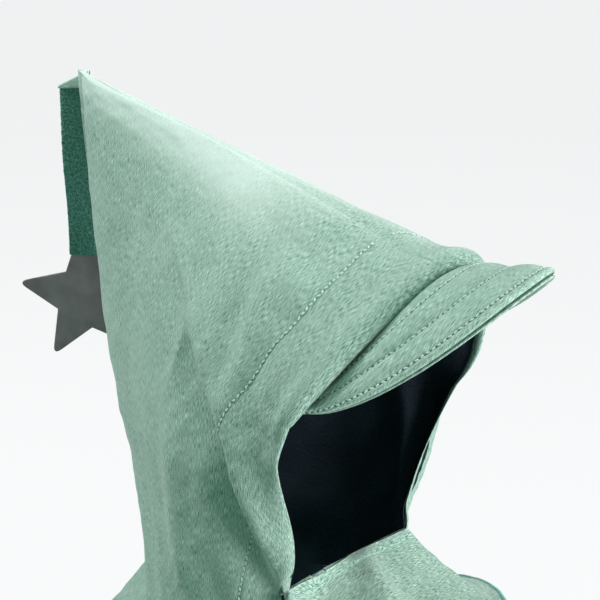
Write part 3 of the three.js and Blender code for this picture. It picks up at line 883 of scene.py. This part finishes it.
THROAT_FOLDS = table("at height width", [
    [-0.100, -10.0, 0.050],
    [0.035, 8.0, 0.040],
])
THROAT_FOLD_SLANT = 0.12
CREASE_START = 9.0
CREASE_END = 120.0
BAND = 6.0
BAND_RISE = 0.9
BAND_EDGE = 0.5
BAND_SINK = 0.5
BAND_SINK_OFF = 0.4
BAND_SINK_REACH = 0.9
BAND_THREAD_OFF = 0.6
BAND_EASE = 0.01
BAND_STITCHED = 0.97
YOKE_ROWS = 420
YOKE_COLUMNS = 72
YOKE_CROWDING = 1.4
YOKE_SPAN = 420
YOKE_RIPPLES = ((38, 21, 0.6), (16, 22, 0.25))
YOKE_CALM = 20.0
YOKE_WALL = 1.8
# Rows and columns of the inner side that are softshell too, where the throat is turned in
TURNED_ROWS = slice(170, 250)
TURNED_COLUMNS = 4


def yoke_point(turn, out):
    """A point of the yoke, from the neck at 0 out to the hem at 1, round by turn.

    In plan it goes straight from the neck to the oval hem. Its height falls by
    1 - (1 - out)^fall, and the folds, each height exp(-(d / width)^2) at a share d of a
    half turn from its middle, swell with sin(out pi / 2).
    """
    turn, out = np.broadcast_arrays(turn, out)
    side = np.where(turn < 0, -1.0, 1.0)
    way = np.abs(turn)
    neck = hood_point(side, BACK_SEAM * between(way, NECKLINE_SHARE, 1), 0.0, 0)
    throat = between(way, 0, NECKLINE_SHARE)
    neck[..., 0] *= throat
    neck[..., 1] -= NECKLINE_BOW * (1 - throat**2)
    neck[..., 2] -= NECK_ROOM
    line = curve_through(HEM_LINE, way)
    angle = np.radians(line["angle"])
    x = neck[..., 0] + (side * HEM_HALF * np.sin(angle) - neck[..., 0]) * out
    y = neck[..., 1] + (HEM_MIDDLE_Y - HEM_DEEP * np.cos(angle) - neck[..., 1]) * out
    z = neck[..., 2] + (line["hem_z"] - neck[..., 2]) * (1 - (1 - out) ** line["fall"])
    wave = np.zeros(turn.shape)
    for at, height, width in zip(*YOKE_FOLDS.values()):
        wave += height * bump((np.mod(turn - at + 1, 2) - 1) / width)
    return np.stack([x, y, z + wave * np.sin(out * math.pi / 2)], -1)


def ring_normals(grid):
    """Upward normals of a ring of points, across its closing seam too."""
    across = np.roll(grid, -1, axis=0) - np.roll(grid, 1, axis=0)
    normal = unit(np.cross(across, np.gradient(grid, axis=1)))
    return np.where(normal[..., 2:] < 0, -normal, normal)


turn = np.linspace(-1, 1, YOKE_ROWS, endpoint=False)[:, None]
out = np.linspace(0, 1, YOKE_COLUMNS)[None, :] ** YOKE_CROWDING
base = yoke_point(turn, out)
reach = np.cumsum(np.linalg.norm(np.diff(base, axis=1, prepend=base[:, :1]), axis=-1), axis=1)
# Folds that start at the throat, height exp(-(d / width)^2) over their growth and fading
crease = sum(height * bump((turn - at + THROAT_FOLD_SLANT * out) / width)
             for at, height, width in zip(*THROAT_FOLDS.values()))
crease = crease * (1 - np.exp(-reach / CREASE_START)) * np.exp(-reach / CREASE_END)
base = base + ring_normals(base) * crease[..., None]
up_way = ring_normals(base)
is_throat = between(np.abs(turn), NECKLINE_SHARE, NECKLINE_SHARE - BAND_EASE)
# The turned-in band stands proud as far as its stitching, which draws a groove
band = BAND_RISE / (1 + np.exp((reach - BAND) / BAND_EDGE))
band = band - BAND_SINK * bump((reach - BAND - BAND_SINK_OFF) / BAND_SINK_REACH)
rippled = ripples(turn * YOKE_SPAN, reach, YOKE_RIPPLES)
height = band * is_throat + rippled * between(reach, 0, YOKE_CALM)
top = base + up_way * height[..., None]
bottom = base - up_way * YOKE_WALL
# The yoke's copy of the softshell is 7 % darker, painted shade that holds down the front light on
# it
yoke_cloth = softshell("yoke_softshell", YARN_ROUND, tone=0.93)
yoke_wall = wall(top, bottom, wrapped=True, flat_uv=base[..., :2] * MM)
side_faces = YOKE_ROWS * (YOKE_COLUMNS - 1)
inner_side = yoke_wall[3][side_faces:2 * side_faces].reshape(YOKE_ROWS, -1)
inner_side[TURNED_ROWS, :TURNED_COLUMNS] = 0
# The inner side's dark jersey is partly painted shade inside the throat
yoke = sewn_piece("shoulder_yoke_cloth", [yoke_wall], [yoke_cloth, jersey_cloth],
                  "shoulder_yoke")

hem_thread = thread("hem_thread", (0.20, 0.52, 0.46))
throat_rows = np.flatnonzero(np.abs(turn[:, 0]) < NECKLINE_SHARE * BAND_STITCHED)
sewn_at = BAND - BAND_THREAD_OFF
after = np.argmax(reach[throat_rows] > sewn_at, axis=1)
share = between(sewn_at, reach[throat_rows, after - 1], reach[throat_rows, after])[:, None]
band_line = top[throat_rows, after - 1] * (1 - share) + top[throat_rows, after] * share
stitches("neckline_topstitch", [(band_line, up_way[throat_rows, after])], hem_thread,
         pitch=3.2, length=2.6, radius=0.42, zigzag=0.6)

OVERLOCK_LOOPS = 560
LOOP_SAMPLES = 8
LOOP_SIDES = 5
LOOP_INWARD = 1.3
LOOP_SWING = 1.7
LOOP_RISE = 1.35
LOOP_TILT = 0.3
LOOP_RADIUS = 0.36


def overlock(name, edge, inward, upward, material):
    """Zigzag of overlock thread round an edge: a tube on a path that goes over the edge.

    path = edge + inward (a + b cos t) + upward (c sin t - wall / 2), t a turn for a loop
    """
    total = OVERLOCK_LOOPS * LOOP_SAMPLES
    at = np.linspace(0, len(edge), total, endpoint=False)
    low = np.floor(at).astype(int)
    high = (low + 1) % len(edge)
    share = (at - low)[:, None]
    edge, inward, upward = (
        grid[low] * (1 - share) + grid[high] * share for grid in (edge, inward, upward))
    phase = np.arange(total) / LOOP_SAMPLES * 2 * math.pi
    path = edge + inward * (LOOP_INWARD + LOOP_SWING * np.cos(phase))[:, None]
    path = path + upward * (LOOP_RISE * np.sin(phase) - YOKE_WALL / 2)[:, None]
    ahead = unit(np.roll(path, -1, axis=0) - np.roll(path, 1, axis=0))
    first = unit(np.cross(ahead, upward + inward * LOOP_TILT))
    second = np.cross(ahead, first)
    swing = np.linspace(0, 2 * math.pi, LOOP_SIDES, endpoint=False)
    ring = first[:, None] * np.cos(swing)[:, None] + second[:, None] * np.sin(swing)[:, None]
    points = path[:, None] + ring * LOOP_RADIUS
    index = np.arange(total * LOOP_SIDES).reshape(total, LOOP_SIDES)
    onward = np.roll(index, -1, axis=0)
    corners = [index, onward, np.roll(onward, -1, axis=1), np.roll(index, -1, axis=1)]
    faces = np.stack(corners, -1).reshape(-1, 4)
    uv = np.stack([np.repeat(phase, LOOP_SIDES), np.tile(swing, total)], -1) * MM
    shell = (points.reshape(-1, 3), faces, uv, np.zeros(len(faces), int))
    return sewn_piece(name, [shell], [material], None)


overlock("hem_overlock", top[:, -1], unit(top[:, -3] - top[:, -1]), up_way[:, -1], hem_thread)


# Strap
# A narrow strap caught in the point of the hood, softshell outside and dark green fleece
# on the side that shows. At the top its end is folded over to the near side as a small
# three-cornered flap, and at the bottom the two layers close round the star's upper arm.
STRAP_HALF = 11.2
STRAP_LAYER = 1.2
STRAP_LINE = table("at x y z turn slant spread", [
    [0.00, 4.0, 199.5, 47.6, 24, 5.6, 0.4],
    [0.15, 4.5, 199.5, 31.0, 28, 1.5, 0.4],
    [0.50, 5.0, 199.0, -10.0, 38, 0.0, 0.4],
    [0.75, 5.8, 197.0, -42.0, 47, 0.0, 0.6],
    [0.85, 6.0, 196.6, -55.0, 47, 0.0, 2.6],
    [1.00, 6.0, 196.6, -75.5, 47, 0.0, 2.8],
])
STRAP_LONG = 122.5
STRAP_ROWS = 200
STRAP_COLUMNS = 42
STRAP_EDGE_FROM = 0.86
STRAP_EDGE_ROUND = 0.5
NUB_SPAN = 122
NUB_RIPPLES = ((2.2, 31, 0.16), (4.5, 32, 0.12))
FLAP_ROWS = 12
FLAP_DROP = 10
FLAP_LEAST = 0.6
BEND_ROWS = 9
BEND_OUT = 1.3
BEND_IN = 0.3
ARCH_HALF = 7.0
ARCH_TALL = 14.5
ARCH_RISE = 0.7
ARCH_CRISP = 9
SEAM_ROOM = 0.4


def strap_point(at, share, depth, drop=0.0):
    """A point of the strap, at a share of its length down from the hood's point.

    It is the middle line, plus a share of the half width in the direction that the strap
    is turned to, plus a depth square to it, less a drop.
    """
    row = curve_through(STRAP_LINE, at)
    turned = np.radians(row["turn"])
    x = row["x"] + share * STRAP_HALF * np.sin(turned) + depth * np.cos(turned)
    y = row["y"] - share * STRAP_HALF * np.cos(turned) + depth * np.sin(turned)
    return np.stack(np.broadcast_arrays(x, y, row["z"] + row["slant"] * share - drop), -1)


def strap_arch(at, share):
    """The star's arm shows through as a rounded arch: 1 inside it, easing to 0 outside.

    share = 1 / (1 + exp(-crisp (1 - (x / half)^2 - (z / tall)^2))), z up from the end
    """
    low = (1 - at) * STRAP_LONG
    inside = 1 - (share * STRAP_HALF / ARCH_HALF) ** 2 - (low / ARCH_TALL) ** 2
    return 1 / (1 + np.exp(-inside * ARCH_CRISP))


def fleece(name, dark, pale, nubs):
    """Napped fleece: small curled nubs over its own mottled green, with painted highlight on their
    tops and painted shade between them.
    """
    material, dye = new_dye(name)
    curl = dye.noise((nubs, nubs), 3.0, 0.6)
    tuft = dye.noise((nubs * 0.45, nubs * 0.45))
    pile = curl * 0.6 + tuft * 0.4
    # Painted light and shade: the pile's tops pale and its gaps dark
    colour = pile.ramp(0.36, dark, 0.66, pale)
    return finish_dye(material, dye, colour, roughness=0.9 + curl * 0.1,
                      height=pile, depth=0.0012,
                      Sheen_Weight=0.5, Sheen_Roughness=0.4, Sheen_Tint=(0.5, 0.9, 0.75, 1))


at = np.linspace(0, 1, STRAP_ROWS)[:, None]
share = np.linspace(-1, 1, STRAP_COLUMNS)[None, :]
spread = curve_through(STRAP_LINE, at)["spread"]
edge_round = STRAP_EDGE_ROUND * between(np.abs(share), STRAP_EDGE_FROM, 1)
arch = ARCH_RISE * strap_arch(at, share)
nub = ripples(at * NUB_SPAN, share * STRAP_HALF, NUB_RIPPLES)
backing_out = strap_point(at, share, -(spread / 2 + STRAP_LAYER + arch + nub) + edge_round)
backing_in = strap_point(at, share, -spread / 2 + 0 * share)
green_fleece = fleece("green_fleece", (0.024, 0.108, 0.080), (0.115, 0.380, 0.300), 1100.0)
backing = sewn_piece("strap_fleece_side", [wall(backing_out, backing_in)], [green_fleece],
                     "strap_backing")

face_out = strap_point(at, share, spread / 2 + STRAP_LAYER + arch - edge_round)
face_in = strap_point(at, share, spread / 2 + 0 * share)
# The outer layer goes over the top in a half turn and comes down again as the flap
top_fold = -(STRAP_LAYER + SEAM_ROOM * 1.5)
flap_rows = np.linspace(1, 0, FLAP_ROWS)[:, None]
flap_drop = (FLAP_LEAST + FLAP_DROP * (1 + share) / 2) * flap_rows
flap_out = strap_point(0 * flap_rows, share, top_fold - STRAP_LAYER, flap_drop)
flap_in = strap_point(0 * flap_rows, share, top_fold + 0 * flap_drop, flap_drop)
bend = np.linspace(0, math.pi, BEND_ROWS)[1:-1, None]
centre = (top_fold + SEAM_ROOM / 2) / 2
outer_reach = centre - (top_fold - STRAP_LAYER)
inner_reach = centre - top_fold
bend_out = strap_point(0 * bend, share, centre - outer_reach * np.cos(bend),
                       -BEND_OUT * np.sin(bend))
bend_in = strap_point(0 * bend, share, centre - inner_reach * np.cos(bend),
                      -BEND_IN * np.sin(bend))
folded_out = np.concatenate([flap_out, bend_out, face_out])
folded_in = np.concatenate([flap_in, bend_in, face_in])
# The softshell side shares the panels' cloth, painted ridge highlight included
face = sewn_piece("strap_softshell_side", [wall(folded_out, folded_in)], [panel_cloth],
                  "strap_face")


# Star
# A five-armed star punched from a grey reflective sheet, its arm ends and notches rounded.
# Its upper arm goes up between the two layers of the strap.
STAR_AT = {"x": 6.5, "y": 196.05, "z": -106.4}
STAR_ARMS = 5
STAR_ARM = 51
STAR_NOTCH = 23.7
STAR_CUT = 8
STAR_THICK = 1.6
STAR_TURN = 47
STAR_TILT = 4.4
STAR_TIP_POINTS = 14
STAR_SIDE_POINTS = 8
# Rings from the middle of the front over the rounded edge to the middle of the back, their
# depth as a share of half the thickness
STAR_RINGS = table("size depth", [
    [0.000, 1.0], [0.350, 1.0], [0.700, 1.0], [0.975, 1.0], [1.000, 0.5625],
    [1.000, -0.5625], [0.975, -1.0], [0.700, -1.0], [0.350, -1.0], [0.000, -1.0],
])


def star_outline():
    """The outline: straight sides between notches and arm ends, each arm end a quadratic
    curve whose control point is the arm's sharp corner."""
    half_arm = math.pi / STAR_ARMS
    curved = np.linspace(0, 1, STAR_TIP_POINTS)[:, None]
    straight = np.linspace(0, 1, STAR_SIDE_POINTS, endpoint=False)[:, None]
    stretches = []
    for arm in range(STAR_ARMS):
        middle = math.radians(90 + STAR_TILT) + 2 * half_arm * arm
        before, tip, after = (
            radius * np.array([math.cos(middle + turn), math.sin(middle + turn)])
            for radius, turn in ((STAR_NOTCH, -half_arm), (STAR_ARM, 0), (STAR_NOTCH, half_arm)))
        start = tip - unit(tip - before) * STAR_CUT
        end = tip - unit(tip - after) * STAR_CUT
        stretches.append(before + (start - before) * straight)
        stretches.append((1 - curved) ** 2 * start + 2 * curved * (1 - curved) * tip
                         + curved**2 * end)
        stretches.append(end + (after - end) * straight[1:])
    return np.concatenate(stretches)


def reflective_sheet():
    """Grey retroreflective fabric: dense glass beads that catch the light one by one."""
    material, dye = new_dye("grey_reflective")
    beads = dye.noise((3000.0, 3000.0), 2.0, 0.7)
    cloud = dye.noise((60.0, 60.0))
    tint = beads * 0.6 + cloud * 0.4
    colour = tint.ramp(0.32, (0.098, 0.094, 0.094), 0.68, (0.235, 0.228, 0.226))
    return finish_dye(material, dye, colour, roughness=0.38 + beads * 0.2,
                      height=beads, depth=0.00012, Metallic=0.25)


outline = star_outline()
flat_x = outline[:, :1] * STAR_RINGS["size"]
flat_z = outline[:, 1:] * STAR_RINGS["size"]
flat_y = STAR_RINGS["depth"] * STAR_THICK / 2
swing = math.radians(90 - STAR_TURN)
star_grid = np.stack([STAR_AT["x"] + flat_x * math.cos(swing) + flat_y * math.sin(swing),
                      STAR_AT["y"] - flat_x * math.sin(swing) + flat_y * math.cos(swing),
                      STAR_AT["z"] + flat_z], -1)
star_uv = np.stack([flat_x, flat_z], -1).reshape(-1, 2) * MM
star_faces = grid_faces(*flat_x.shape, wrapped=True)
star_shell = (star_grid.reshape(-1, 3), star_faces, star_uv, np.zeros(len(star_faces), int))
sewn_piece("reflective_star", [star_shell], [reflective_sheet()], "star")


# Studio
# A pale sweep all round and below the hood. Soft lights stand behind it and at its left
# front, with a low card in front and a weak light overhead, and the daylight is greenish.
# The camera is where the fitted outline puts it. Lengths here are in metres.
CAMERA_AZIMUTH = -50
CAMERA_ELEVATION = 15
CAMERA_DISTANCE = 1.0
CAMERA_AIM = (0.0, -0.00581, -0.0736)
CAMERA_LENS = 96
CAMERA_SENSOR = 36
FLOOR_LEVEL = -0.40
SWEEP_SIDES = 72
SWEEP = table("radius rise", [
    [0.00, 0.00], [0.60, 0.00], [1.20, 0.00], [1.90, 0.00], [2.30, 0.06],
    [2.60, 0.28], [2.75, 0.70], [2.80, 1.40], [2.80, 3.40],
])
LAMP_AIM = (0.0, 0.0, -0.08)
LAMPS = (
    ("overhead_softbox", (-0.05, -0.05, 1.4), LAMP_AIM, 0.8, 3.5),
    ("back_softbox", (-0.45, 0.95, 1.2), LAMP_AIM, 0.7, 21.0),
    ("front_softbox", (0.85, -1.35, 0.1), LAMP_AIM, 0.9, 17.5),
    ("low_card", (-0.1, -1.5, -0.1), (0.0, 0.0, -0.15), 0.8, 15.5),
)
DAYLIGHT = (0.50, 1.0, 0.82, 1)
DAYLIGHT_STRENGTH = 0.28

swing = math.radians(CAMERA_AZIMUTH)
lift = math.radians(CAMERA_ELEVATION)
away = np.array([math.sin(swing) * math.cos(lift), -math.cos(swing) * math.cos(lift),
                 math.sin(lift)])
camera_data = bpy.data.cameras.new("camera")
camera_data.lens = CAMERA_LENS
camera_data.sensor_width = CAMERA_SENSOR
camera = bpy.data.objects.new("camera", camera_data)
camera.location = np.array(CAMERA_AIM) + away * CAMERA_DISTANCE
camera.rotation_euler = (math.pi / 2 - lift, 0, swing)
bpy.context.scene.collection.objects.link(camera)
bpy.context.scene.camera = camera

round_way = np.linspace(0, 2 * math.pi, SWEEP_SIDES, endpoint=False)[:, None]
sweep_grid = np.stack([SWEEP["radius"] * np.cos(round_way), SWEEP["radius"] * np.sin(round_way),
                       FLOOR_LEVEL + SWEEP["rise"] + 0 * round_way], -1)
floor_material, floor_dye = new_dye("pale_sweep")
paper = floor_dye.node("ShaderNodeTexNoise", {}, {"Scale": 3.0, "Detail": 2.0})
paper_tone = paper.ramp(0.3, (0.10, 0.10, 0.102), 0.7, (0.107, 0.107, 0.11))
finish_dye(floor_material, floor_dye, paper_tone, roughness=0.9, height=paper, depth=0.0001,
           Emission_Color=(0.95, 0.95, 0.96, 1), Emission_Strength=0.85)
floor_mesh = bpy.data.meshes.new("studio_sweep")
floor_mesh.from_pydata(sweep_grid.reshape(-1, 3).tolist(), [],
                       grid_faces(*sweep_grid.shape[:2], wrapped=True).tolist())
floor_mesh.polygons.foreach_set("use_smooth", np.ones(len(floor_mesh.polygons), bool))
floor_mesh.materials.append(floor_material)
floor = bpy.data.objects.new("studio_sweep", floor_mesh)
bpy.context.scene.collection.objects.link(floor)
floor.visible_diffuse = False

for name, place, target, size, power in LAMPS:
    lamp_data = bpy.data.lights.new(name, "AREA")
    lamp_data.shape = "DISK"
    lamp_data.size = size
    lamp_data.energy = power
    lamp = bpy.data.objects.new(name, lamp_data)
    way = np.array(place) - np.array(target)
    lamp.location = place
    lamp.rotation_euler = (math.acos(way[2] / np.linalg.norm(way)), 0,
                           math.atan2(way[0], -way[1]))
    bpy.context.scene.collection.objects.link(lamp)
world = bpy.data.worlds.new("studio")
world.use_nodes = True
background = world.node_tree.nodes["Background"]
background.inputs["Color"].default_value = DAYLIGHT
background.inputs["Strength"].default_value = DAYLIGHT_STRENGTH
bpy.context.scene.world = world
bpy.context.scene.view_settings.view_transform = "Standard"

bpy.context.view_layer.update()
